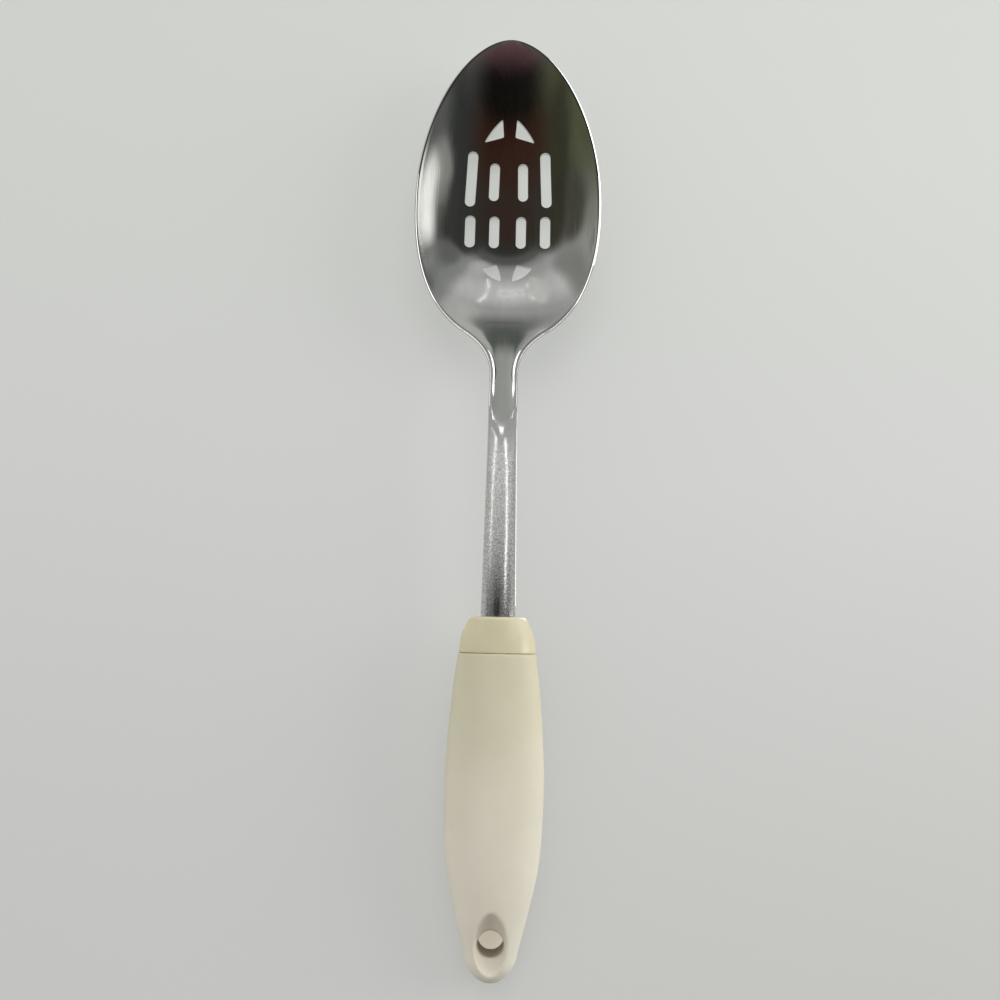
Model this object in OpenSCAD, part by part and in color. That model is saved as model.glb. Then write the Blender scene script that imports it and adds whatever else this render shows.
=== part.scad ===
// Slotted serving spoon lying face up on a table.
// Millimetres. Table at z = 0, +Y to the bowl's tip, +X to the right, +Z up.
// Distance s runs along the spoon from the tip, distance a along the handle from the collar's front.

/* [Steel sheet] */
// Thickness of the stamped sheet
sheet_t = 1.3; // [0.9:0.1:1.8]

/* [Bowl] */
// Width over the rim
bowl_w = 66.6; // [54:0.2:78]
// Tip to the widest section
tip_len = 65; // [54:1:76]
// Widest section to where the outline would close at the root
root_len = 54; // [46:1:64]
// Rim down to the floor
bowl_depth = 16.4; // [10:0.2:20]

/* [Neck and shank] */
// Width of the neck at its narrowest
neck_w = 9; // [7:0.1:11]
// Width of the shank where it enters the collar
shank_w = 11.4; // [9:0.1:13]
// Root of the bowl to the bend at the top of the neck
neck_len = 45; // [42:1:55]
// Bend to the front of the collar
shank_len = 61.5; // [45:0.5:80]
// Slope of the neck up from the bowl, degrees
neck_rise = 12; // [8:0.1:15]
// Height of the shank's arch
arch_h = 2.1; // [1.2:0.1:3.5]

/* [Slots] */
// Width of the long slots
slot_w = 3.7; // [3:0.1:4.6]

/* [Handle] */
// Front of the collar to the end of the grip
handle_len = 113; // [95:1:130]
// Widest part of the grip
grip_w = 31.6; // [26:0.2:36]
// Thickest part of the grip
grip_t = 20.6; // [17:0.2:24]
// Length of the collar
collar_len = 11.5; // [9:0.5:15]
// Thickness of the soft grip over the core
grip_wall = 3.6; // [2.8:0.1:4.2]
// Radius of the hanging hole
hole_r = 4.1; // [3:0.1:4.6]

/* [Hidden] */

cells = 22;              // strips across the sheet
ring_n = 44;             // points round the handle
ring_power = 2.3;        // squareness of the handle's section
tip_power = 1.85;        // roundness of the bowl's tip
root_power = 2.33;       // fullness of the bowl's root
dish_power = 2.05;       // roundness of the dish
rim_climb = 0.01;        // rise of the rim towards the neck

// Places along the spoon
deep_at = 0.84 * tip_len;
ramp_at = tip_len + 0.365 * root_len;
root_at = tip_len + root_len - 12;
join_t = 0.926;
join_at = tip_len + join_t * root_len;
fillet_len = 18;
bend_at = root_at + neck_len;
collar_at = bend_at + shank_len;
flat_at = collar_at + collar_len + 8;
tang_end = collar_at + 0.66 * handle_len;

// Heights and slopes of the sheet's middle
floor_z = sheet_t / 2 - 0.009;
root_rise = 0.84 * bowl_depth;
ramp_m = root_rise / (root_at - ramp_at);
neck_m = tan(neck_rise);
bend_z = floor_z + root_rise + neck_m * neck_len;
axis_drop = 1.2;

// Half width and half thickness of the handle: place along it, share of the largest
wide = [[0, .576], [.039, .71], [.066, .766], [.102, .799], [.235, .909], [.407, .992], [.504, 1],
    [.615, .969], [.685, .925], [.752, .835], [.821, .718], [.887, .596], [.921, .535], [1, .44]];
thick = [[0, .7], [.102, .806], [.265, .922], [.487, 1], [.6, .985], [.69, .913], [.796, .777],
    [.885, .641], [.95, .544], [1, .476]];

// Hanging hole and its scoop
hole_a = handle_len - 12.5;
scoop_side_r = 5.8;
scoop_long_r = 17.2;
scoop_floor = 2.8;
scoop_tilt = 10;

// The handle's fall is solved so that the grip's underside rests on the table
fall_m = rest_fall(0.09, 8);
fall = atan(fall_m);
tip_y = (collar_at + handle_len * cos(fall)) / 2 - 0.2;

function rest_fall(m, n) = n == 0 ? m
    : rest_fall(m + underside(m) / (shank_len + 0.7 * handle_len), n - 1);
function underside(m) = bend_z - axis_drop - m * shank_len
    - max([for (i = [10:1:40]) let (a = i / 40 * handle_len * 0.95)
        a * sin(atan(m)) + half_t(a) * cos(atan(m))]);

// Smooth helpers
function soft(x, k) = x / k > 30 ? x : k * ln(1 + exp(x / k));
function ease(x) = 1 / (1 + exp(-x));
function signed_pow(x, e) = sign(x) * pow(abs(x), e);
function hermite(t, d, p, mp, q, mq) = (2 * t - 3) * t * t * (p - q) + p
    + d * t * (1 - t) * ((1 - t) * mp - t * mq);
function span(tab, x, i = 0) = i >= len(tab) - 2 || x < tab[i + 1][0] ? i : span(tab, x, i + 1);
function lean(tab, i) = let (p = tab[max(0, i - 1)], q = tab[min(len(tab) - 1, i + 1)])
    (q[1] - p[1]) / (q[0] - p[0]);
function curve(tab, x) = let (i = span(tab, x), p = tab[i], q = tab[i + 1], d = q[0] - p[0])
    hermite((x - p[0]) / d, d, p[1], lean(tab, i), q[1], lean(tab, i + 1));

// Outline of the sheet's middle: half width at distance s
mid_w = bowl_w / 2 - 0.38 * sheet_t;
function root_half(t) = mid_w * pow(1 - pow(t, root_power), 1 / root_power);
function root_slope(t) = -mid_w / root_len * pow(t, root_power - 1)
    * pow(1 - pow(t, root_power), 1 / root_power - 1);
function half_w(s) =
    s < tip_len ? mid_w * pow(1 - pow(1 - max(s, 0) / tip_len, tip_power), 1 / tip_power)
    : s < join_at ? root_half((s - tip_len) / root_len)
    : s < join_at + fillet_len ? hermite((s - join_at) / fillet_len, fillet_len,
        root_half(join_t), root_slope(join_t), neck_w / 2, 0)
    : neck_w / 2 + (shank_w - neck_w) / 2
        * min(1, (s - join_at - fillet_len) / (collar_at - join_at - fillet_len));

// Height of the sheet's middle along the centre line, and how far its edges stand above that
function spine(s) = floor_z + bowl_depth * pow(max(0, 1 - s / deep_at), dish_power)
    + ramp_m * soft(s - ramp_at, 5)
    - (ramp_m - neck_m) * soft(s - root_at, 3.5)
    - (neck_m + fall_m) * soft(s - bend_at, 5);
function rim(s) = floor_z + bowl_depth + rim_climb * s
    + (neck_m - rim_climb) * soft(s - root_at - 11, 3);
function crown(s) = (rim(s) - spine(s)) * ease((bend_at - 8 - s) / 3)
    - arch_h * (ease((s - bend_at - 1) / 4) - ease((s - flat_at) / 3));

function sheet(s, u) = [half_w(s) * u, tip_y - s, spine(s) + crown(s) * pow(abs(u), dish_power)];
function normal(s, u) = let (e = 0.02,
    n = cross(sheet(s + e, u) - sheet(s - e, u), sheet(s, u + e) - sheet(s, u - e))) n / norm(n);
function strip(s, grow) = concat(
    [for (i = [0:cells]) face_point(s, 2 * i / cells - 1, grow, 1)],
    [for (i = [cells:-1:0]) face_point(s, 2 * i / cells - 1, grow, -1)]);
function face_point(s, u, grow, side) = sheet(s, u) + normal(s, u) * side * (sheet_t / 2 + grow)
    + [grow * u, 0, 0];

// Sections of the sheet from the tip to the end of the tang
bowl_rows = concat(
    [for (i = [0:18]) tip_len * (1 - pow(cos(2 + 88 * i / 18), 2 / tip_power))],
    [for (i = [1:11]) tip_len + root_len * pow(sin(66 * i / 12), 2 / root_power)],
    [for (i = [0:9]) join_at + fillet_len * i / 9],
    [for (d = [-15, -11, -7.5, -5, -2.5, 0, 2.5, 5, 8, 12, 17, 25]) bend_at + d]);
tang_rows = concat([collar_at - 8],
    [for (d = [-9, -6, -3, 0, 3, 6, 9]) flat_at + d], [tang_end]);

// Handle sections
function nose(a, from, reach) = a < handle_len - from ? 1
    : sqrt(max(0, 1 - pow((a - handle_len + from) / reach, 2)));
function half_g(a) = grip_w / 2 * curve(wide, a / handle_len) * nose(a, 8, 8);
function half_t(a) = grip_t / 2 * curve(thick, a / handle_len) * nose(a, 7, 7);
function ring(a, w, t, n) = [for (i = [0:n - 1]) [w * signed_pow(cos(360 * i / n), 2 / ring_power), -a,
    -t * signed_pow(sin(360 * i / n), 2 / ring_power)]];

collar_rows = [for (r = [[0, 1.1], [.25, .5], [.7, .17], [1.3, 0], [3, 0], [5, 0], [7.5, 0],
    [collar_len - 1.6, 0], [collar_len - .3, 0], [collar_len, .3]])
    ring(r[0], half_g(r[0]) - r[1], half_t(r[0]) - r[1], ring_n)];
grip_places = concat([for (k = [.3, 4, 9]) collar_len + k],
    [for (i = [0:15]) collar_len + 14.5 + i * (handle_len - collar_len - 22.5) / 15],
    [for (b = [14, 28, 41, 53, 64, 73, 80, 86]) handle_len - 8 + 8 * sin(b)]);
grip_rows = concat([ring(collar_len, half_g(collar_len) - .3, half_t(collar_len) - .3, ring_n)],
    [for (a = grip_places) ring(a, half_g(a), half_t(a), ring_n)]);

// Core: a spigot in the collar, then a ribbed body, places along it and depth below the ribs
spigot_from = 2.5;
spigot_w = 8.2;
spigot_t = 5.3;
core_end = handle_len - 25;
rib = 0.8;
core_steps = [[collar_len, 0], [collar_len + 10, 0], [collar_len + 11, rib], [collar_len + 22, rib],
    [collar_len + 23, 0], [collar_len + 33, 0], [collar_len + 34, rib], [collar_len + 45, rib],
    [collar_len + 46, 0], [collar_len + 56, 0], [core_end - 3, rib], [core_end - 1, 1.6], [core_end, 3]];
core_rows = [for (k = core_steps) ring(k[0], half_g(k[0]) - grip_wall - k[1],
    half_t(k[0]) - grip_wall + 0.4 - k[1], 32)];
function spigot_rows(gap) = [for (a = [spigot_from - gap, collar_len + (gap > 0 ? 1 : 0)])
    ring(a, spigot_w + gap, spigot_t + gap, 32)];

// Skin over rows of points, closed at both ends
module skin(rows) {
    n = len(rows[0]);
    last = (len(rows) - 1) * n;
    polyhedron(points = [for (r = rows) each r], convexity = 6, faces = concat(
        [for (r = [0:len(rows) - 2]) for (j = [0:n - 1]) let (p = r * n + j, q = r * n + (j + 1) % n)
            each [[p, q, q + n], [p, q + n, p + n]]],
        [for (i = [0:n / 2 - 2]) each [[n - 1 - i, i + 1, i], [n - 1 - i, n - 2 - i, i + 1]]],
        [for (i = [0:n / 2 - 2]) each [[last + i, last + i + 1, last + n - 1 - i],
            [last + i + 1, last + n - 2 - i, last + n - 1 - i]]]));
}

module at_handle() {
    translate([0, tip_y - collar_at, bend_z - fall_m * shank_len - axis_drop]) rotate([fall, 0, 0]) children();
}

module both_sides() {
    children();
    mirror([1, 0, 0]) children();
}

// Slot with round ends between two places along the spoon, leaning by an angle
module slot(x, from, to, turn) {
    reach = (to - from - slot_w) / 2;
    translate([x, tip_y - (from + to) / 2]) rotate(turn) {
        square([slot_w, 2 * reach], center = true);
        for (k = [-1, 1]) translate([0, k * reach]) circle(d = slot_w);
    }
}

// Points of an arc from p to q that stands off its chord by bulge
function arc(p, q, bulge) = [for (i = [0:7]) let (t = i / 8, d = q - p)
    p + d * t + [-d[1], d[0]] / norm(d) * bulge * 4 * t * (1 - t)];

// Rounded three-sided opening: corner points x, s and the bulge of each side
module gusset(c, bulge) {
    translate([0, tip_y]) mirror([0, 1]) polygon([for (i = [0:2]) each arc(c[i], c[(i + 1) % 3], bulge[i])]);
}

module slots() {
    kx = bowl_w / 66.6;
    ks = tip_len / 65;
    translate([0, 0, -5]) linear_extrude(40) both_sides() {
        slot(4.95 * kx, 63.3 * ks, 76.3 * ks, 0);
        slot(13.8 * kx, 64.5 * ks, 77.5 * ks, 0);
        slot(5.35 * kx, 42 * ks, 57 * ks, 1.1);
        slot(13.8 * kx, 39.1 * ks, 60.9 * ks, 2.3);
        gusset([[2.7 * kx, 25.5 * ks], [9.4 * kx, 34.8 * ks], [2.15 * kx, 32 * ks]], [-0.6, 0.1, 0]);
        gusset([[3.75 * kx, 83.3 * ks], [9.3 * kx, 85.3 * ks], [1.95 * kx, 91.3 * ks]], [0, -1, -0.4]);
    }
}

// Hole and side notches that key the tang in the core
module tang_keys() {
    at_handle() {
        translate([0, -collar_len - 28, -6]) cylinder(r = 2.6, h = 14);
        both_sides() translate([shank_w / 2 + 0.8, -collar_len - 45, -6]) cylinder(r = 2.4, h = 14);
    }
}

module tang(grow) {
    skin([for (s = tang_rows) strip(s, grow)]);
}

module spoon() {
    color("silver") difference() {
        skin([for (s = concat(bowl_rows, tang_rows)) strip(s, 0)]);
        slots();
        tang_keys();
    }
}

module collar() {
    color([0.9, 0.86, 0.7]) difference() {
        at_handle() difference() {
            skin(collar_rows);
            skin(spigot_rows(0.1));
        }
        tang(0.15);
    }
}

module core() {
    color([0.75, 0.73, 0.68]) difference() {
        at_handle() union() {
            skin(spigot_rows(0));
            skin(core_rows);
        }
        difference() {
            tang(0);
            tang_keys();
        }
    }
}

// Oval scoop that leads into the hanging hole
module scoop() {
    translate([0, -hole_a, scoop_floor + scoop_side_r]) rotate([scoop_tilt, 0, 0]) rotate([90, 0, 0])
        rotate_extrude() intersection() {
            translate([scoop_side_r - scoop_long_r, 0]) circle(r = scoop_long_r);
            translate([0, -scoop_long_r]) square([scoop_long_r, 2 * scoop_long_r]);
        }
}

module grip() {
    color([0.93, 0.9, 0.82]) at_handle() difference() {
        skin(grip_rows);
        skin(concat([[for (p = core_rows[0]) p + [0, 1, 0]]], core_rows));
        scoop();
        translate([0, -hole_a, -grip_t]) cylinder(r = hole_r, h = 2 * grip_t);
    }
}

spoon();
collar();
core();
grip();
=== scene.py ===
import math

import bmesh
import bpy
import numpy as np
from mathutils import Matrix, Vector


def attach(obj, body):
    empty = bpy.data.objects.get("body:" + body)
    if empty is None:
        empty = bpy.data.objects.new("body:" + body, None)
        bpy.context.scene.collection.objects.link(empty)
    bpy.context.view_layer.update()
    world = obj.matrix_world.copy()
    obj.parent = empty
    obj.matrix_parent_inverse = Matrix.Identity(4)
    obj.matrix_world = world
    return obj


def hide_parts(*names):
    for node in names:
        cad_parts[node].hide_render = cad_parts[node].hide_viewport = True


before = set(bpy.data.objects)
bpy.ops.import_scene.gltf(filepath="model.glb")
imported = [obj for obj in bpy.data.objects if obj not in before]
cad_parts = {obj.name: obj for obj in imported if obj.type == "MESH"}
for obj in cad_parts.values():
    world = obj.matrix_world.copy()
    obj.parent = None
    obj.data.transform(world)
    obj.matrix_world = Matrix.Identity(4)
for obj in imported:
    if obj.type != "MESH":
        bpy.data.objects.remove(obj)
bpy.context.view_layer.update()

# Sizes in millimetres, the same values as the solids
SHEET_T = 1.3
BOWL_W, TIP_LEN, ROOT_LEN, BOWL_DEPTH = 66.6, 65.0, 54.0, 16.4
NECK_W, SHANK_W, NECK_LEN, SHANK_LEN, NECK_RISE, ARCH_H = 9.0, 11.4, 45.0, 61.5, 12.0, 2.1
SLOT_W = 3.7
HANDLE_LEN, GRIP_W, GRIP_T, COLLAR_LEN, GRIP_WALL, HOLE_R = 113.0, 31.6, 20.6, 11.5, 3.6, 4.1
TIP_POWER, ROOT_POWER, DISH_POWER, RING_POWER = 1.85, 2.33, 2.05, 2.3
RIM_CLIMB, FILLET_LEN, JOIN_T, AXIS_DROP = 0.01, 18.0, 0.926, 1.2
NOSE_W, NOSE_T = 8.0, 7.0
SCOOP_SIDE_R, SCOOP_LONG_R, SCOOP_FLOOR, SCOOP_TILT = 5.8, 17.2, 2.8, 10.0
WIDE = [(0, .576), (.039, .71), (.066, .766), (.102, .799), (.235, .909), (.407, .992), (.504, 1),
        (.615, .969), (.685, .925), (.752, .835), (.821, .718), (.887, .596), (.921, .535), (1, .44)]
THICK = [(0, .7), (.102, .806), (.265, .922), (.487, 1), (.6, .985), (.69, .913), (.796, .777),
         (.885, .641), (.95, .544), (1, .476)]

MID_W = BOWL_W / 2 - 0.38 * SHEET_T
DEEP_AT = 0.84 * TIP_LEN
RAMP_AT = TIP_LEN + 0.365 * ROOT_LEN
ROOT_AT = TIP_LEN + ROOT_LEN - 12
ROOT_RISE = 0.84 * BOWL_DEPTH
JOIN_AT = TIP_LEN + JOIN_T * ROOT_LEN
BEND_AT = ROOT_AT + NECK_LEN
COLLAR_AT = BEND_AT + SHANK_LEN
FLAT_AT = COLLAR_AT + COLLAR_LEN + 8
TANG_END = COLLAR_AT + 0.66 * HANDLE_LEN
FLOOR_Z = SHEET_T / 2 - 0.009
RAMP_M = ROOT_RISE / (ROOT_AT - RAMP_AT)
NECK_M = math.tan(math.radians(NECK_RISE))
RAMP_SOFT, ROOT_SOFT, BEND_SOFT = 5, 3.5, 5
RIM_LAG, RIM_SOFT = 11, 3
BEND_Z = FLOOR_Z + ROOT_RISE + NECK_M * NECK_LEN
HOLE_A = HANDLE_LEN - 12.5


# Smooth helpers
def soft(x, k):
    return k * np.logaddexp(0.0, np.asarray(x, float) / k)


def ease(x):
    return 1 / (1 + np.exp(-np.clip(x, -60, 60)))


def hermite(t, d, p, mp, q, mq):
    return (2 * t - 3) * t * t * (p - q) + p + d * t * (1 - t) * ((1 - t) * mp - t * mq)


def curve(table, x):
    xs = np.array([p[0] for p in table], float)
    ys = np.array([p[1] for p in table], float)
    lean = np.empty_like(ys)
    lean[1:-1] = (ys[2:] - ys[:-2]) / (xs[2:] - xs[:-2])
    lean[0] = (ys[1] - ys[0]) / (xs[1] - xs[0])
    lean[-1] = (ys[-1] - ys[-2]) / (xs[-1] - xs[-2])
    x = np.asarray(x, float)
    i = np.clip(np.searchsorted(xs, x, side="right") - 1, 0, len(xs) - 2)
    d = xs[i + 1] - xs[i]
    return hermite((x - xs[i]) / d, d, ys[i], lean[i], ys[i + 1], lean[i + 1])


# Handle sections, along the handle from the front of the collar
def nose(a, reach):
    return np.sqrt(np.clip(1 - np.clip((a - HANDLE_LEN + reach) / reach, 0, 1) ** 2, 0, 1))


def half_g(a):
    a = np.asarray(a, float)
    return GRIP_W / 2 * curve(WIDE, a / HANDLE_LEN) * nose(a, NOSE_W)


def half_t(a):
    a = np.asarray(a, float)
    return GRIP_T / 2 * curve(THICK, a / HANDLE_LEN) * nose(a, NOSE_T)


# The handle's fall rests the grip's underside on the table
places = np.arange(10, 41) / 40 * HANDLE_LEN * 0.95
FALL_M = 0.09
for _ in range(8):
    tilt = math.atan(FALL_M)
    hang = np.max(places * math.sin(tilt) + half_t(places) * math.cos(tilt))
    low = BEND_Z - AXIS_DROP - FALL_M * SHANK_LEN - hang
    FALL_M += low / (SHANK_LEN + 0.7 * HANDLE_LEN)
FALL = math.atan(FALL_M)
TIP_Y = (COLLAR_AT + HANDLE_LEN * math.cos(FALL)) / 2 - 0.2
HANDLE_Z = BEND_Z - FALL_M * SHANK_LEN - AXIS_DROP
HANDLE = Matrix.Translation((0, TIP_Y - COLLAR_AT, HANDLE_Z)) @ Matrix.Rotation(FALL, 4, "X")


# The steel sheet: outline, height and normal
def half_w(s):
    s = np.asarray(s, float)
    ahead = np.power(np.clip(1 - s / TIP_LEN, 0, 1), TIP_POWER)
    tip = MID_W * np.power(np.clip(1 - ahead, 0, 1), 1 / TIP_POWER)
    t = np.clip((s - TIP_LEN) / ROOT_LEN, 0, JOIN_T)
    root = MID_W * np.power(1 - np.power(t, ROOT_POWER), 1 / ROOT_POWER)
    edge = 1 - JOIN_T ** ROOT_POWER
    slope = -MID_W / ROOT_LEN * JOIN_T ** (ROOT_POWER - 1) * edge ** (1 / ROOT_POWER - 1)
    f = np.clip((s - JOIN_AT) / FILLET_LEN, 0, 1)
    fillet = hermite(f, FILLET_LEN, MID_W * edge ** (1 / ROOT_POWER), slope, NECK_W / 2, 0)
    start = JOIN_AT + FILLET_LEN
    shank = NECK_W / 2 + (SHANK_W - NECK_W) / 2 * np.clip((s - start) / (COLLAR_AT - start), 0, 1)
    return np.where(s < TIP_LEN, tip, np.where(s < JOIN_AT, root, np.where(s < start, fillet, shank)))


def spine(s):
    dish = BOWL_DEPTH * np.power(np.clip(1 - s / DEEP_AT, 0, None), DISH_POWER)
    climb = RAMP_M * soft(s - RAMP_AT, RAMP_SOFT)
    ease_off = (RAMP_M - NECK_M) * soft(s - ROOT_AT, ROOT_SOFT)
    bend = (NECK_M + FALL_M) * soft(s - BEND_AT, BEND_SOFT)
    return FLOOR_Z + dish + climb - ease_off - bend


def rim(s):
    turn_up = (NECK_M - RIM_CLIMB) * soft(s - ROOT_AT - RIM_LAG, RIM_SOFT)
    return FLOOR_Z + BOWL_DEPTH + RIM_CLIMB * s + turn_up


def crown(s):
    dished = ease((BEND_AT - 8 - s) / 3)
    arched = ease((s - BEND_AT - 1) / 4) - ease((s - FLAT_AT) / 3)
    return (rim(s) - spine(s)) * dished - ARCH_H * arched


# In the scene alone, the neck's trough has a slightly flatter floor than in the solid
TROUGH_POWER = 0.9


def dish_power(s):
    return DISH_POWER + TROUGH_POWER * ease((s - ROOT_AT - 13) / 4.5) * ease((BEND_AT - 10 - s) / 3)


def height(s, x):
    return spine(s) + crown(s) * np.power(np.abs(x) / np.maximum(half_w(s), 1e-6), dish_power(s))


def point(s, x):
    return np.stack([x, TIP_Y - s, height(s, x)], -1)


def normal(s, x):
    e = 0.01
    zx = (height(s, x + e) - height(s, x - e)) / (2 * e)
    zs = (height(s + e, x) - height(s - e, x)) / (2 * e)
    n = np.stack([-zx, zs, np.ones_like(zx)], -1)
    return n / np.linalg.norm(n, axis=-1, keepdims=True)


# Mesh helpers: millimetres in, metres out
def face_out(mesh):
    bm = bmesh.new()
    bm.from_mesh(mesh)
    bmesh.ops.recalc_face_normals(bm, faces=bm.faces)
    bm.to_mesh(mesh)
    bm.free()


def make(name, verts, faces, smooth=True):
    mesh = bpy.data.meshes.new(name)
    mesh.from_pydata([tuple(v) for v in np.asarray(verts, float) / 1000], [], faces)
    mesh.validate()
    if smooth:
        face_out(mesh)
        mesh.shade_smooth()
    obj = bpy.data.objects.new(name, mesh)
    bpy.context.scene.collection.objects.link(obj)
    return obj


def skin(rows):
    rows = np.asarray(rows, float)
    r, n = rows.shape[:2]
    quads = []
    for i in range(r - 1):
        for j in range(n):
            k = (j + 1) % n
            quads.append((i * n + j, i * n + k, (i + 1) * n + k, (i + 1) * n + j))
    last = (r - 1) * n
    for i in range(n // 2 - 1):
        quads.append((n - 1 - i, n - 2 - i, i + 1, i))
        quads.append((last + i, last + i + 1, last + n - 2 - i, last + n - 1 - i))
    return rows.reshape(-1, 3), quads


def cut(obj, *tools):
    for tool in tools:
        m = obj.modifiers.new("cut", "BOOLEAN")
        m.operation, m.solver, m.object = "DIFFERENCE", "EXACT", tool
        apply(obj)
        bpy.data.objects.remove(tool)


def apply(obj):
    graph = bpy.context.evaluated_depsgraph_get()
    mesh = bpy.data.meshes.new_from_object(obj.evaluated_get(graph))
    obj.modifiers.clear()
    old, obj.data = obj.data, mesh
    bpy.data.meshes.remove(old)


def at_handle(verts):
    m = np.array(HANDLE)
    return np.asarray(verts, float) @ m[:3, :3].T + m[:3, 3]


def prism(name, outline, low, high, matrix=None):
    n = len(outline)
    verts = [(x, y, low) for x, y in outline] + [(x, y, high) for x, y in outline]
    if matrix is not None:
        verts = [matrix @ Vector(v) for v in verts]
    faces = [tuple(range(n - 1, -1, -1)), tuple(range(n, 2 * n))]
    faces += [(i, (i + 1) % n, n + (i + 1) % n, n + i) for i in range(n)]
    return make(name, verts, faces, smooth=False)


def disc(x, y, r, n=64):
    return [(x + r * math.cos(2 * math.pi * i / n), y + r * math.sin(2 * math.pi * i / n)) for i in range(n)]


# Steel: one stamped sheet with rolled edges, from the tip to the end of the tang
EDGE_R, EDGE_OUT = 0.42, 0.1
NECK_UNDER_LESS, NECK_WIDE_MORE, NECK_DEEP_MORE = 0.12, 1.0, 0.52
TOP_N, ROLL_N = 81, 5
MIRROR = np.array([-1, 1, 1])
SKIN_GAP = 0.02


def sheet_rows(stations, grow=0.0):
    s = np.asarray(stations, float)
    turn = ease((s - ROOT_AT - 3) / 3)[:, None]
    edge_r = EDGE_R - NECK_UNDER_LESS * turn
    wide_r = EDGE_R + NECK_WIDE_MORE * turn
    deep_r = EDGE_R + NECK_DEEP_MORE * turn
    w = half_w(s)
    rim_pts = point(s, w)
    along = np.gradient(np.vstack([rim_pts[:1] * MIRROR, rim_pts]), axis=0)[1:]
    along /= np.linalg.norm(along, axis=1, keepdims=True)
    clear_s = np.maximum(s, 0.3)
    n_rim = normal(clear_s, half_w(clear_s) * 0.9999)
    out = np.cross(n_rim, along)
    out /= np.linalg.norm(out, axis=1, keepdims=True)
    inner = rim_pts - out * (wide_r - EDGE_OUT - grow)
    s_in, x_in = TIP_Y - inner[:, 1], np.maximum(inner[:, 0], 0.02)
    u = np.linspace(-1, 1, TOP_N)
    S, X = np.repeat(s_in[:, None], TOP_N, 1), x_in[:, None] * u[None, :]
    P, N = point(S, X), normal(S, X)
    half = SHEET_T / 2 + grow - SKIN_GAP
    upper, lower = P + N * half, P - N * half
    ne, base = N[:, -1], P[:, -1]
    right = []
    for k in range(1, ROLL_N + 1):
        b = math.radians(90 * k / ROLL_N)
        right.append(base + ne * (half - deep_r + deep_r * math.cos(b)) + out * wide_r * math.sin(b))
    for k in range(ROLL_N):
        b = math.radians(90 * k / ROLL_N)
        outward = wide_r - edge_r + edge_r * math.cos(b)
        right.append(base + out * outward - ne * (half - edge_r + edge_r * math.sin(b)))
    right = np.stack(right, 1)
    left = right[:, ::-1] * MIRROR
    return np.concatenate([upper, right, lower[:, ::-1], left], 1)


# Stations along the sheet, close together where its outline or its bend turns
tip_angle = np.radians(np.linspace(0.05, 90, 84))
root_angle = np.radians(np.linspace(0, 66, 62)[1:-1])
STATIONS = np.concatenate([
    TIP_LEN * (1 - np.cos(tip_angle) ** (2 / TIP_POWER)),
    TIP_LEN + ROOT_LEN * np.sin(root_angle) ** (2 / ROOT_POWER),
    JOIN_AT + FILLET_LEN * np.linspace(0, 1, 42),
    np.arange(JOIN_AT + FILLET_LEN + 0.8, BEND_AT + 28, 0.8),
    np.arange(BEND_AT + 29, FLAT_AT - 10, 2.5),
    np.arange(FLAT_AT - 9, FLAT_AT + 10, 1.0),
    np.linspace(FLAT_AT + 12, TANG_END, 14)])


# Piercings: round-ended slots and curved corner openings, each mirrored to the left
def arc(p, q, bulge, n):
    p, q = np.array(p, float), np.array(q, float)
    d = q - p
    side = np.array([-d[1], d[0]]) / np.linalg.norm(d)
    return [p + d * t + side * bulge * 4 * t * (1 - t) for t in np.arange(n) / n]


def stadium(x, s0, s1, turn, slant, n=18):
    reach = (s1 - s0 - SLOT_W) / 2
    c, si = math.cos(math.radians(turn)), math.sin(math.radians(turn))
    pts = []
    for end, start in ((1, 0), (-1, 180)):
        for i in range(n + 1):
            b = math.radians(start + 180 * i / n)
            px, py = SLOT_W / 2 * math.cos(b), end * reach + SLOT_W / 2 * math.sin(b)
            py -= slant * px
            pts.append((x + px * c - py * si, TIP_Y - (s0 + s1) / 2 + px * si + py * c))
    return pts


def gusset(corners, bulges):
    pts = []
    for i in range(3):
        pts += arc(corners[i], corners[(i + 1) % 3], bulges[i], 24)
    pts = np.array(pts)
    for _ in range(3):
        pts = (np.roll(pts, 1, 0) + 2 * pts + np.roll(pts, -1, 0)) / 4
    return [(x, TIP_Y - s) for x, s in pts][::-1]


SLOTS = [stadium(4.95, 63.3, 76.3, 0, 0.07), stadium(13.8, 64.5, 77.5, 0, 0.22),
         stadium(5.35, 42, 57, 1.1, 0.08), stadium(13.8, 39.1, 60.9, 2.3, 0.23),
         gusset([(2.7, 25.5), (9.4, 34.8), (2.15, 32)], [-0.6, 0.1, 0]),
         gusset([(3.75, 83.3), (9.3, 85.3), (1.95, 91.3)], [0, -1, -0.4])]


def join(objs):
    bm = bmesh.new()
    for o in objs:
        bm.from_mesh(o.data)
    bmesh.ops.recalc_face_normals(bm, faces=bm.faces)
    mesh = objs[0].data
    bm.to_mesh(mesh)
    bm.free()
    for o in objs[1:]:
        bpy.data.objects.remove(o)
    return objs[0]


SLOT_LOW, SLOT_HIGH = -5, 40
KEY_LOW, KEY_HIGH = -6, 8
KEY_AT, KEY_R = COLLAR_LEN + 28, 2.6
NOTCH_AT, NOTCH_R, NOTCH_OUT = COLLAR_LEN + 45, 2.4, 0.8

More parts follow.
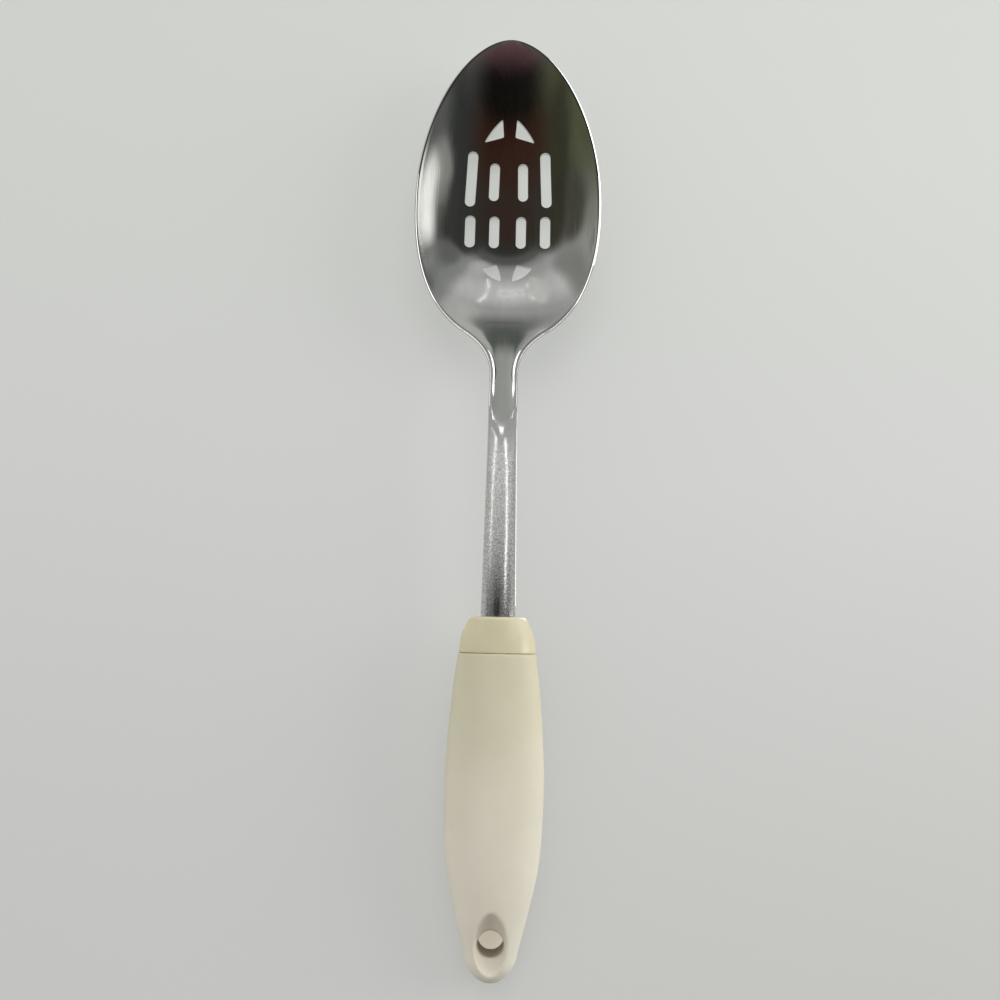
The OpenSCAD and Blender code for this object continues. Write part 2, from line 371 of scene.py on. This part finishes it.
spoon = make("pierced_spoon", *skin(sheet_rows(STATIONS)))
tools = []
for outline in SLOTS:
    tools.append(prism("slot", outline, SLOT_LOW, SLOT_HIGH))
    tools.append(prism("slot", [(-x, y) for x, y in outline][::-1], SLOT_LOW, SLOT_HIGH))
tools.append(prism("key", disc(0, -KEY_AT, KEY_R), KEY_LOW, KEY_HIGH, HANDLE))
for side in (-1, 1):
    notch = disc(side * (SHANK_W / 2 + NOTCH_OUT), -NOTCH_AT, NOTCH_R)
    tools.append(prism("key", notch, KEY_LOW, KEY_HIGH, HANDLE))
cut(spoon, join(tools))


def finish_mesh(obj, angle=35):
    face_out(obj.data)
    obj.data.shade_smooth()
    obj.data.set_sharp_from_angle(angle=math.radians(angle))


finish_mesh(spoon)


# Handle pieces
def ring(a, w, t, n):
    b = 2 * np.pi * np.arange(n) / n
    c, si = np.cos(b), np.sin(b)
    e = 2 / RING_POWER
    x, z = w * np.sign(c) * np.abs(c) ** e, -t * np.sign(si) * np.abs(si) ** e
    return np.stack([x, np.full(n, -a), z], -1)


def loft(name, rows):
    verts, quads = skin(rows)
    return make(name, at_handle(verts), quads)


# Collar: each row is a place along the handle and how far the ring is drawn in there
RING_N, SOCKET_N = 144, 64
FRONT_LONG, FRONT_DEEP, FRONT_POWER = 1.3, 1.1, 1.3
LIP_R = 0.3
SPIGOT_FROM, SPIGOT_W, SPIGOT_T, SPIGOT_PLAY = 2.5, 8.2, 5.3, 0.1
SHANK_PLAY = 0.15
front = [(FRONT_LONG * (1 - math.cos(b)), FRONT_DEEP * (1 - math.sin(b)) ** FRONT_POWER)
         for b in np.radians(np.linspace(0, 90, 12))]
back_lip = [(COLLAR_LEN - LIP_R + LIP_R * math.sin(b), LIP_R * (1 - math.cos(b)))
            for b in np.radians(np.linspace(0, 90, 5))]
collar_rows = front + [(a, 0) for a in np.linspace(1.7, COLLAR_LEN - 0.7, 22)] + back_lip
collar = loft("collar_shell", [ring(a, half_g(a) - i - SKIN_GAP, half_t(a) - i - SKIN_GAP, RING_N)
                               for a, i in collar_rows])
socket = loft("socket", [ring(a, SPIGOT_W + SPIGOT_PLAY, SPIGOT_T + SPIGOT_PLAY, SOCKET_N)
                         for a in (SPIGOT_FROM - SPIGOT_PLAY, COLLAR_LEN + 1)])
tang_stations = np.linspace(COLLAR_AT - 8, COLLAR_AT + COLLAR_LEN + 6, 24)
passage = make("passage", *skin(sheet_rows(tang_stations, SHANK_PLAY)))
cut(collar, socket, passage)
finish_mesh(collar)

# Soft grip: loft, scoop and hole, then an even skin with softened edges
BORE_HALF, BORE_N = 20, 96
VOXEL_M = 0.00045
front_lip = [(COLLAR_LEN + LIP_R - LIP_R * math.sin(b), LIP_R * (1 - math.cos(b)))
             for b in np.radians(np.linspace(90, 0, 5))]
ends = HANDLE_LEN - NOSE_W + NOSE_W * np.sin(np.radians(np.linspace(0, 88.5, 30)))
middle = np.linspace(COLLAR_LEN + 1, HANDLE_LEN - NOSE_W - 0.5, 90)
grip_rows = front_lip + [(a, 0) for a in np.concatenate([middle, ends])]
grip = loft("soft_grip", [ring(a, half_g(a) - i, half_t(a) - i, RING_N) for a, i in grip_rows])


def lemon(name, n=72):
    b = np.linspace(-1, 1, 41) * math.acos((SCOOP_LONG_R - SCOOP_SIDE_R) / SCOOP_LONG_R) * 0.999
    v = 2 * np.pi * np.arange(n) / n
    rows = []
    for k in b:
        r = SCOOP_LONG_R * math.cos(k) - (SCOOP_LONG_R - SCOOP_SIDE_R)
        y = np.full(n, -SCOOP_LONG_R * math.sin(k))
        rows.append(np.stack([r * np.cos(v), y, -r * np.sin(v)], -1))
    verts, quads = skin(rows)
    turn = np.array(Matrix.Rotation(math.radians(SCOOP_TILT), 3, "X"))
    verts = verts @ turn.T + np.array([0, -HOLE_A, SCOOP_FLOOR + SCOOP_SIDE_R])
    return make(name, at_handle(verts), quads)


bore = prism("bore", disc(0, -HOLE_A, HOLE_R, BORE_N), -BORE_HALF, BORE_HALF, HANDLE)
cut(grip, lemon("scoop"), bore)

m = grip.modifiers.new("even", "REMESH")
m.mode, m.voxel_size = "VOXEL", VOXEL_M
apply(grip)
m = grip.modifiers.new("ease", "SMOOTH")
m.factor, m.iterations = 0.5, 7
apply(grip)

# The grip is hollow where the ribbed core fills it: place along the handle and how far it is drawn in
RIB, CORE_END = 0.8, HANDLE_LEN - 25
core_steps = [(COLLAR_LEN, 0), (COLLAR_LEN + 10, 0), (COLLAR_LEN + 11, RIB), (COLLAR_LEN + 22, RIB),
              (COLLAR_LEN + 23, 0), (COLLAR_LEN + 33, 0), (COLLAR_LEN + 34, RIB), (COLLAR_LEN + 45, RIB),
              (COLLAR_LEN + 46, 0), (COLLAR_LEN + 56, 0), (CORE_END - 3, RIB), (CORE_END - 1, 1.6),
              (CORE_END, 3)]
hollow = [ring(a, half_g(a) - GRIP_WALL - k, half_t(a) - GRIP_WALL + 0.4 - k, 32) for a, k in core_steps]
hollow = [hollow[0] + np.array([0, 2.0, 0])] + hollow
cut(grip, loft("hollow", hollow))
finish_mesh(grip)


# Node helpers
def material(name):
    mat = bpy.data.materials.new(name)
    mat.use_nodes = True
    nodes, links = mat.node_tree.nodes, mat.node_tree.links
    nodes.clear()
    out = nodes.new("ShaderNodeOutputMaterial")
    bsdf = nodes.new("ShaderNodeBsdfPrincipled")
    links.new(bsdf.outputs[0], out.inputs[0])
    return mat, nodes, links, bsdf


def stretched_noise(nodes, links, scale, detail, rough=0.5):
    coord = nodes.new("ShaderNodeTexCoord")
    place = nodes.new("ShaderNodeMapping")
    place.inputs["Scale"].default_value = scale
    noise = nodes.new("ShaderNodeTexNoise")
    noise.inputs["Scale"].default_value = 1.0
    noise.inputs["Detail"].default_value = detail
    noise.inputs["Roughness"].default_value = rough
    links.new(coord.outputs["Object"], place.inputs["Vector"])
    links.new(place.outputs[0], noise.inputs["Vector"])
    return noise


def ranged(nodes, links, source, a, b, low, high):
    r = nodes.new("ShaderNodeMapRange")
    r.inputs["From Min"].default_value, r.inputs["From Max"].default_value = a, b
    r.inputs["To Min"].default_value, r.inputs["To Max"].default_value = low, high
    links.new(source, r.inputs["Value"])
    return r.outputs[0]


def ramp(nodes, links, source, stops):
    r = nodes.new("ShaderNodeValToRGB")
    while len(r.color_ramp.elements) < len(stops):
        r.color_ramp.elements.new(0.5)
    for e, (p, c) in zip(r.color_ramp.elements, stops):
        e.position, e.color = p, (*c, 1)
    links.new(source, r.inputs[0])
    return r.outputs[0]


def bump(nodes, links, bsdf, source, distance, strength, under=None):
    b = nodes.new("ShaderNodeBump")
    b.inputs["Distance"].default_value = distance
    b.inputs["Strength"].default_value = strength
    links.new(source, b.inputs["Height"])
    if under is not None:
        links.new(under, b.inputs["Normal"])
    links.new(b.outputs[0], bsdf.inputs["Normal"])
    return b.outputs[0]


def added(nodes, links, a, b, operation="ADD"):
    m = nodes.new("ShaderNodeMath")
    m.operation = operation
    for socket, value in zip(m.inputs, (a, b)):
        if isinstance(value, (int, float)):
            socket.default_value = value
        else:
            links.new(value, socket)
    return m.outputs[0]


def smooth_step(nodes, links, source, low, high):
    r = nodes.new("ShaderNodeMapRange")
    r.interpolation_type = "SMOOTHSTEP"
    r.inputs["From Min"].default_value, r.inputs["From Max"].default_value = low, high
    links.new(source, r.inputs["Value"])
    return r.outputs[0]


def object_place(nodes, links):
    coord = nodes.new("ShaderNodeTexCoord")
    part = nodes.new("ShaderNodeSeparateXYZ")
    links.new(coord.outputs["Object"], part.inputs[0])
    return part.outputs


def along(nodes, links, axis, low, high):
    return smooth_step(nodes, links, object_place(nodes, links)[axis], low, high)


def mixed(nodes, links, fac, a, b):
    m = nodes.new("ShaderNodeMix")
    m.data_type = "RGBA"
    for socket, value in ((m.inputs[0], fac), (m.inputs[6], a), (m.inputs[7], b)):
        if isinstance(value, tuple):
            socket.default_value = (*value, 1)
        else:
            links.new(value, socket)
    return m.outputs[2]


def blended(nodes, links, share, first, second):
    m = nodes.new("ShaderNodeMixShader")
    for socket, value in zip(m.inputs, (share, first, second)):
        links.new(value, socket)
    links.new(m.outputs[0], nodes["Material Output"].inputs[0])


# Steel: polished bowl with fine draw lines, satin neck and shank with small pits
steel, nodes, links, bsdf = material("worn_satin_steel")
bsdf.inputs["Metallic"].default_value = 1.0
satin = along(nodes, links, "Y", 0.016, -0.004)
streaks = stretched_noise(nodes, links, (2600, 60, 900), 4)
base = ranged(nodes, links, satin, 0, 1, 0.09, 0.17)
vary = ranged(nodes, links, streaks.outputs["Fac"], 0.3, 0.7, -0.03, 0.05)
links.new(added(nodes, links, base, vary), bsdf.inputs["Roughness"])
tone = stretched_noise(nodes, links, (160, 40, 160), 3)
plain = ramp(nodes, links, tone.outputs["Fac"], [(0.3, (0.6, 0.6, 0.585)), (0.7, (0.68, 0.68, 0.66))])
pits = stretched_noise(nodes, links, (2700, 2200, 2700), 2)
pitted = added(nodes, links, pits.outputs["Fac"], satin, "MULTIPLY")
flecks = ramp(nodes, links, pits.outputs["Fac"], [(0.34, (0.47, 0.47, 0.46)), (0.66, (0.86, 0.86, 0.84))])
links.new(mixed(nodes, links, satin, plain, flecks), bsdf.inputs["Base Color"])
under = bump(nodes, links, bsdf, streaks.outputs["Fac"], 0.00002, 0.3)
bump(nodes, links, bsdf, pitted, 0.00003, 0.8, under)

# Collar: smooth hard plastic with a faint ripple
gloss, nodes, links, bsdf = material("collar_gloss_plastic")
bsdf.inputs["Roughness"].default_value = 0.22
bsdf.inputs["Specular IOR Level"].default_value = 0.5
tone = stretched_noise(nodes, links, (120, 120, 120), 3)
links.new(ramp(nodes, links, tone.outputs["Fac"], [(0.3, (0.55, 0.5, 0.34)), (0.7, (0.58, 0.53, 0.37))]),
          bsdf.inputs["Base Color"])
ripple = stretched_noise(nodes, links, (260, 260, 260), 2)
bump(nodes, links, bsdf, ripple.outputs["Fac"], 0.00004, 0.2)

# Grip: soft matt plastic, yellower near the collar, with painted shade darkening its colour in its hollows
matt, nodes, links, bsdf = material("grip_soft_plastic")
bsdf.inputs["Roughness"].default_value = 0.62
bsdf.inputs["Specular IOR Level"].default_value = 0.35
tone = stretched_noise(nodes, links, (90, 60, 90), 4)
cream = ramp(nodes, links, tone.outputs["Fac"], [(0.3, (0.655, 0.61, 0.51)), (0.7, (0.695, 0.65, 0.555))])
near_collar = ramp(nodes, links, tone.outputs["Fac"],
                   [(0.3, (0.53, 0.495, 0.355)), (0.7, (0.56, 0.525, 0.385))])
body = mixed(nodes, links, along(nodes, links, "Y", -0.135, -0.062), cream, near_collar)
# Painted shade: ambient occlusion mixes the colour towards taupe in the scoop and the hole
painted_hollow_shade = nodes.new("ShaderNodeAmbientOcclusion")
painted_hollow_shade.only_local = True
painted_hollow_shade.inputs["Distance"].default_value = 0.012
open_share = ranged(nodes, links, painted_hollow_shade.outputs["AO"], 0.4, 0.95, 0, 1)
links.new(mixed(nodes, links, open_share, (0.4, 0.34, 0.26), body), bsdf.inputs["Base Color"])
grain = stretched_noise(nodes, links, (1800, 1800, 1800), 3)
bump(nodes, links, bsdf, grain.outputs["Fac"], 0.00003, 0.35)

# Core: plain hard plastic
hard, nodes, links, bsdf = material("core_plastic")
bsdf.inputs["Roughness"].default_value = 0.5
tone = stretched_noise(nodes, links, (200, 200, 200), 3)
links.new(ramp(nodes, links, tone.outputs["Fac"], [(0.3, (0.5, 0.48, 0.4)), (0.7, (0.56, 0.53, 0.45))]),
          bsdf.inputs["Base Color"])

# Each piece gets its material, rides on the body and stands for its solid
for obj, mat, node_name, slot in ((spoon, steel, "spoon", "steel"), (collar, gloss, "collar", "collar"),
                                  (grip, matt, "grip", "grip")):
    obj.data.materials.clear()
    obj.data.materials.append(mat)
    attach(obj, "root")
    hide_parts(node_name)
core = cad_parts["core"]
core.data.materials.clear()
core.data.materials.append(hard)


# Stage helpers: flat sheets and ribbons in millimetres
def sheet(*corners):
    return list(corners), [(0, 1, 2, 3)]


def flat_sheet(x0, y0, x1, y1, z):
    return sheet((x0, y0, z), (x1, y0, z), (x1, y1, z), (x0, y1, z))


def side_sheet(x, y0, y1, z0, z1):
    return sheet((x, y0, z0), (x, y1, z0), (x, y1, z1), (x, y0, z1))


def ribbon(pairs):
    verts = [p for pair in pairs for p in pair]
    return verts, [(2 * i, 2 * i + 1, 2 * i + 3, 2 * i + 2) for i in range(len(pairs) - 1)]


def only_reflected(obj):
    obj.visible_camera = obj.visible_diffuse = obj.visible_shadow = obj.visible_transmission = False


# Table: pale, with part of its brightness even so that shadows stay faint
TABLE_HALF, TABLE_Z = 2500, -0.05
EVEN_SHARE = 0.65
LEFT_TABLE = [(0, (0.485, 0.49, 0.475)), (0.5, (0.57, 0.575, 0.56)), (1, (0.595, 0.615, 0.58))]
RIGHT_TABLE = [(0, (0.455, 0.455, 0.43)), (0.5, (0.605, 0.61, 0.595)), (1, (0.63, 0.66, 0.61))]
HOLE_TINT, TINT_FULL, TINT_END = (0.7, 0.615, 0.49), 0.006, 0.009
table = make("table", *flat_sheet(-TABLE_HALF, -TABLE_HALF, TABLE_HALF, TABLE_HALF, TABLE_Z), smooth=False)
top, nodes, links, bsdf = material("pale_table")
bsdf.inputs["Roughness"].default_value = 0.6
bsdf.inputs["Specular IOR Level"].default_value = 0.0
tone = stretched_noise(nodes, links, (6, 6, 6), 3)
links.new(ramp(nodes, links, tone.outputs["Fac"], [(0.3, (0.70, 0.705, 0.69)), (0.7, (0.72, 0.725, 0.71))]),
          bsdf.inputs["Base Color"])
# The glowing share is painted brighter towards the far side and the right, as the room's light falls across
# the table
depth = along(nodes, links, "Y", -0.25, 0.25)
even = mixed(nodes, links, along(nodes, links, "X", -0.1, 0.16),
             ramp(nodes, links, depth, LEFT_TABLE), ramp(nodes, links, depth, RIGHT_TABLE))
# Under the hanging hole the table's glow is painted with the tint of the light that comes through the grip
coord = nodes.new("ShaderNodeTexCoord")
reach = nodes.new("ShaderNodeVectorMath")
reach.operation = "DISTANCE"
reach.inputs[1].default_value = (0, (HANDLE @ Vector((0, -HOLE_A, 0))).y / 1000, 0)
links.new(coord.outputs["Object"], reach.inputs[0])
bounce = ranged(nodes, links, reach.outputs["Value"], TINT_FULL, TINT_END, 1, 0)
glow = nodes.new("ShaderNodeEmission")
links.new(mixed(nodes, links, bounce, even, HOLE_TINT), glow.inputs["Color"])
path = nodes.new("ShaderNodeLightPath")
seen = added(nodes, links, path.outputs["Is Camera Ray"], path.outputs["Is Glossy Ray"], "MAXIMUM")
seen = added(nodes, links, seen, path.outputs["Is Transmission Ray"], "MAXIMUM")
blended(nodes, links, added(nodes, links, seen, EVEN_SHARE, "MULTIPLY"), bsdf.outputs[0], glow.outputs[0])
table.data.materials.append(top)

# Card over the bowl, seen only in reflections: dark in the middle, olive to the left, grey to the right
CARD_Z, CARD_REACH = 250.0, 1000
MIDDLE = [(0.03, (0.12, 0.1, 0.1)), (0.055, (0.12, 0.055, 0.065)), (0.08, (0.004, 0.004, 0.003)),
          (0.12, (0.006, 0.005, 0.003)), (0.15, (0.036, 0.0135, 0.0075)), (0.22, (0.046, 0.021, 0.014)),
          (0.3, (0.036, 0.038, 0.033))]
LEFT = [(0.06, (0.1, 0.1, 0.08)), (0.1, (0.085, 0.09, 0.05)), (0.16, (0.04, 0.04, 0.022))]
RIGHT = [(0.06, (0.12, 0.11, 0.11)), (0.1, (0.07, 0.068, 0.068)), (0.16, (0.04, 0.043, 0.042))]
card = make("dark_card", *flat_sheet(-CARD_REACH, 0, CARD_REACH, CARD_REACH, CARD_Z), smooth=False)
dark, nodes, links, bsdf = material("dark_card")
nodes.remove(bsdf)
glow = nodes.new("ShaderNodeEmission")
depth = object_place(nodes, links)["Y"]
zone = ramp(nodes, links, depth, MIDDLE)
zone = mixed(nodes, links, along(nodes, links, "X", -0.1, -0.4), zone, ramp(nodes, links, depth, LEFT))
zone = mixed(nodes, links, along(nodes, links, "X", 0.1, 0.4), zone, ramp(nodes, links, depth, RIGHT))
links.new(zone, glow.inputs["Color"])
clear = nodes.new("ShaderNodeBsdfTransparent")
cover = along(nodes, links, "X", -0.95, -0.45)
for axis, out_at, full_at in (("X", 0.95, 0.45), ("Y", 0.03, 0.05), ("Y", 0.36, 0.27)):
    cover = added(nodes, links, cover, along(nodes, links, axis, out_at, full_at), "MULTIPLY")
blended(nodes, links, cover, clear.outputs[0], glow.outputs[0])
card.data.materials.append(dark)
only_reflected(card)


# Smaller cards round the spoon, seen only in reflections
def glow_card(name, parts, paint, strength=1.0):
    verts, faces = [], []
    for v, f in parts:
        faces += [tuple(i + len(verts) for i in q) for q in f]
        verts += v
    obj = make(name, verts, faces, smooth=False)
    mat, nodes, links, bsdf = material(name)
    nodes.remove(bsdf)
    glow = nodes.new("ShaderNodeEmission")
    glow.inputs["Strength"].default_value = strength
    if callable(paint):
        links.new(paint(nodes, links), glow.inputs["Color"])
    else:
        glow.inputs["Color"].default_value = (*paint, 1)
    links.new(glow.outputs[0], nodes["Material Output"].inputs[0])
    obj.data.materials.append(mat)
    only_reflected(obj)


WHITE = (1.0, 1.0, 0.98)


# Over the neck: pale near the shank, dark green-grey towards the bowl
def neck_paint(nodes, links):
    pale = mixed(nodes, links, along(nodes, links, "X", -0.03, 0.02), (0.48, 0.49, 0.47), (0.37, 0.38, 0.37))
    shaded = mixed(nodes, links, along(nodes, links, "Y", 0.098, 0.122),
                   (0.11, 0.125, 0.11), (0.23, 0.235, 0.23))
    place = object_place(nodes, links)
    sideways = added(nodes, links, added(nodes, links, place["X"], 0.0, "ABSOLUTE"), 0.5, "MULTIPLY")
    near = added(nodes, links, place["Y"], sideways, "SUBTRACT")
    return mixed(nodes, links, ranged(nodes, links, near, 0.078, 0.088, 0, 1), pale, shaded)


NECK_CARD_Z = 60
NECK_CARD = [(-70, 33, 70, 78), (-36, 78, 36, 100), (-18, 100, 18, 115)]
glow_card("neck_card", [flat_sheet(*box, NECK_CARD_Z) for box in NECK_CARD], neck_paint)


# Tent over the shank, its tone changing lengthwise
def tent_paint(nodes, links):
    place = object_place(nodes, links)
    stops = [(0.125, 0.1), (0.23, 0.28), (0.31, 0.48), (0.41, 0.58), (0.5, 0.67), (0.63, 0.66), (0.76, 0.46)]
    lengthwise = ramp(nodes, links, ranged(nodes, links, place["Y"], -0.08, 0.08, 0, 1),
                      [(p, (v, v * 1.005, v)) for p, v in stops])
    return mixed(nodes, links, along(nodes, links, "Z", 0.1, 0.05), lengthwise, (0.5, 0.5, 0.48))


TENT_X, TENT_LOW, TENT_SIDE = 70, 4, 60
TENT_FROM, TENT_TO, WALL_TO = -80, 76, 116
TENT = [(-TENT_X, TENT_LOW), (-TENT_X, TENT_SIDE), (-112, 128),
        (112, 128), (TENT_X, TENT_SIDE), (TENT_X, TENT_LOW)]
tent_walls = [side_sheet(x, TENT_TO, WALL_TO, TENT_LOW, TENT_SIDE) for x in (-TENT_X, TENT_X)]
tent_roof = ribbon([((x, TENT_FROM, z), (x, TENT_TO, z)) for x, z in TENT])
glow_card("shank_tent", [tent_roof] + tent_walls, tent_paint)

# Bright strips under the tent's top, a shade before the camera, and small lights by collar and table
STRIP_Z, STRIP_HALF = 126.0, 7.5
LEFT_STRIP = [(-42, 40), (-55, 31), (-98, 10), (-111, -9), (-101, -29)]
RIGHT_STRIP = [(20, 37), (27, 31), (59, 7), (69, -11), (68, -28), (60, -42), (66, -49)]
strips = [ribbon([((x - STRIP_HALF, y, STRIP_Z), (x + STRIP_HALF, y, STRIP_Z)) for x, y in row])
          for row in (LEFT_STRIP, RIGHT_STRIP)]
glow_card("strip_lamps", strips + [flat_sheet(-14, 49, 4, 58, STRIP_Z)], WHITE, 2.3)
glow_card("camera_shade", [flat_sheet(-44, -92, 14, -46, STRIP_Z - 1)], (0.006, 0.006, 0.006))
glow_card("collar_light", [side_sheet(40, -66, -55, 28, 48)], WHITE, 3.5)
glow_card("table_strip", [flat_sheet(11, -45, 22, 25, 1)], WHITE, 3.0)

# Two bars and the sill of a far window
FRAME_Y, SILL_LOW = 1500, 210
SILL = [(75, 233.5), (0, 230), (-73, 230.5), (-150, 236), (-224, 246)]
right_bar = sheet((265, FRAME_Y, 375), (291, FRAME_Y, 375), (203, FRAME_Y, 238), (177, FRAME_Y, 238))
left_bar = sheet((-340, FRAME_Y, 306), (-312, FRAME_Y, 306), (-241, FRAME_Y, 258), (-269, FRAME_Y, 258))
glow_card("window_frame", [right_bar, left_bar], WHITE, 1.6)
glow_card("window_sill", [ribbon([((x, FRAME_Y, SILL_LOW), (x, FRAME_Y, z)) for x, z in SILL])], WHITE, 1.1)

# World: a room with a window for reflections, a soft room for matt surfaces, a plain pale backdrop
BACKDROP = (0.58, 0.59, 0.57)
world = bpy.data.worlds.new("room")
bpy.context.scene.world = world
world.use_nodes = True
nodes, links = world.node_tree.nodes, world.node_tree.links
nodes.clear()
out = nodes.new("ShaderNodeOutputWorld")
shade = nodes.new("ShaderNodeBackground")
links.new(shade.outputs[0], out.inputs[0])
coord = nodes.new("ShaderNodeTexCoord")


def facing(direction):
    d = nodes.new("ShaderNodeVectorMath")
    d.operation = "DOT_PRODUCT"
    d.inputs[1].default_value = Vector(direction).normalized()
    links.new(coord.outputs["Generated"], d.inputs[0])
    return d.outputs["Value"]


# One inside `near` degrees of a direction, none beyond `far`
def toward(direction, near, far):
    low, high = math.cos(math.radians(far)), math.cos(math.radians(near))
    return smooth_step(nodes, links, facing(direction), low, high)


# The same for a band: degrees away from the plane across an axis
def across(axis, near, far):
    low, high = math.sin(math.radians(far)), math.sin(math.radians(near))
    return smooth_step(nodes, links, added(nodes, links, facing(axis), 0.0, "ABSOLUTE"), low, high)


# Brightness from straight down, at 0, to straight up, at 1
SKY = [(0, 0.5), (0.5, 0.6), (0.545, 0.72), (0.585, 0.66), (0.62, 0.52), (0.655, 0.43), (0.695, 0.42),
       (0.727, 0.35), (0.757, 0.26), (0.772, 0.22), (0.78, 0.125), (0.835, 0.11), (0.86, 0.06),
       (0.883, 0.036), (0.915, 0.036), (0.95, 0.6), (0.98, 0.75)]
# Patches of the room: direction, near and far degrees, colour
ROOM = [((-1, -0.15, 0.3), 26, 57, (0.1, 0.11, 0.062)), ((0.1, -1, 0.3), 25, 65, (0.18, 0.17, 0.17)),
        ((1, 0.1, 0.3), 25, 55, (0.13, 0.135, 0.13)), ((0.68, 0.42, 0.6), 12, 22, (0.045, 0.047, 0.042)),
        ((-0.72, 0.38, 0.58), 12, 22, (0.04, 0.04, 0.025)),
        ((0.74, 0.54, 0.41), 5, 16, (0.045, 0.047, 0.042)),
        ((-0.84, 0.48, 0.26), 3, 9, (0.07, 0.07, 0.055)), ((0.89, 0.372, 0.29), 2, 9, (0.34, 0.34, 0.32)),
        ((0.61, 0.765, 0.2), 4, 16, (0.3, 0.31, 0.3)), ((-0.686, 0.711, 0.156), 3, 14, (0.28, 0.28, 0.265)),
        ((0.69, 0.68, 0.25), 3, 10, (0.16, 0.165, 0.16)), ((0.33, 0.86, 0.39), 1, 12, (0.56, 0.57, 0.55)),
        ((-0.286, 0.935, 0.208), 1, 4, (0.7, 0.685, 0.66))]
part = nodes.new("ShaderNodeSeparateXYZ")
links.new(coord.outputs["Generated"], part.inputs[0])
room = ramp(nodes, links, ranged(nodes, links, part.outputs["Z"], -1, 1, 0, 1),
            [(p, (v, v * 1.01, v)) for p, v in SKY])
for direction, near, far, colour in ROOM:
    room = mixed(nodes, links, toward(direction, near, far), room, colour)
window = added(nodes, links, toward((0.88, 0.465, 0.09), 3.5, 12),
               across((-0.364, 0.433, 0.824), 1.2, 6.5), "MULTIPLY")
room = mixed(nodes, links, window, room, (1.3, 1.3, 1.26))
soft_room = mixed(nodes, links, toward((0, -1, 0.1), 30, 92), (0.58, 0.585, 0.575), (0.06, 0.06, 0.058))
soft_room = mixed(nodes, links, toward((-1, 0.1, 0.25), 15, 75), soft_room, (1.2, 1.2, 1.17))
path = nodes.new("ShaderNodeLightPath")
lit = mixed(nodes, links, path.outputs["Is Glossy Ray"], soft_room, room)
links.new(mixed(nodes, links, path.outputs["Is Camera Ray"], lit, BACKDROP), shade.inputs["Color"])
shade.inputs["Strength"].default_value = 1.0


# Soft lamps, aimed at the origin, which reflections do not show
def soft_lamp(name, at, size, power):
    light = bpy.data.lights.new(name, "AREA")
    light.shape, light.size, light.energy = "DISK", size, power
    obj = bpy.data.objects.new(name, light)
    obj.location = at
    obj.rotation_euler = (-Vector(at)).to_track_quat("-Z", "Y").to_euler()
    obj.visible_glossy = False
    bpy.context.scene.collection.objects.link(obj)


# Upright strip lamps, in millimetres, which only reflections show
def strip_light(name, start, end, low, high, glow):
    a, b = Vector((*start, low)), Vector((*end, high))
    run = Vector((b.x - a.x, b.y - a.y, 0))
    e = run.normalized()
    light = bpy.data.lights.new(name, "AREA")
    light.shape, light.size, light.size_y = "RECTANGLE", run.length / 1000, (high - low) / 1000
    light.energy = 4 * light.size * light.size_y * glow
    obj = bpy.data.objects.new(name, light)
    turn = Matrix((e, (0, 0, 1), (e.y, -e.x, 0))).transposed().to_4x4()
    obj.matrix_world = Matrix.Translation((a + b) / 2000) @ turn
    obj.visible_camera = obj.visible_diffuse = obj.visible_transmission = False
    bpy.context.scene.collection.objects.link(obj)


soft_lamp("overhead", (0.1, 0.9, 1.4), 1.4, 8)
soft_lamp("right", (1.1, 0.2, 0.35), 0.8, 10)

# Strips beside the neck, each with its reach in Y and Z, and along the right rim
NECK_LAMP_X, NECK_GLOW = 38, 1.8
NECK_LAMPS = [(34, 62, 42, 56), (57, 112, 20, 42)]
RIM_LAMPS, RIM_LOW, RIM_HIGH, RIM_GLOW = [(52, 78), (52, 138), (22, 174)], 10, 18.3, 3.5
for low_y, high_y, low_z, high_z in NECK_LAMPS:
    strip_light("neck_right", (NECK_LAMP_X, low_y), (NECK_LAMP_X, high_y), low_z, high_z, NECK_GLOW)
    strip_light("neck_left", (-NECK_LAMP_X, high_y), (-NECK_LAMP_X, low_y), low_z, high_z, NECK_GLOW)
for name, start, end in zip(("rim_low", "rim_high"), RIM_LAMPS, RIM_LAMPS[1:]):
    strip_light(name, start, end, RIM_LOW, RIM_HIGH, RIM_GLOW)

# Camera where the photograph was taken from
CAMERA_AT = (0.00253, -0.08388, 0.342)
CAMERA_TURNS = [(0.493, "Y"), (12.5, "X"), (1.388, "Z")]
data = bpy.data.cameras.new("camera")
data.sensor_width, data.lens = 36, 36
data.clip_start = 0.01
camera = bpy.data.objects.new("camera", data)
view = Matrix.Translation(CAMERA_AT)
for degrees, axis in CAMERA_TURNS:
    view = view @ Matrix.Rotation(math.radians(degrees), 4, axis)
camera.matrix_world = view
bpy.context.scene.collection.objects.link(camera)
bpy.context.scene.camera = camera
bpy.context.scene.view_settings.view_transform = "Standard"
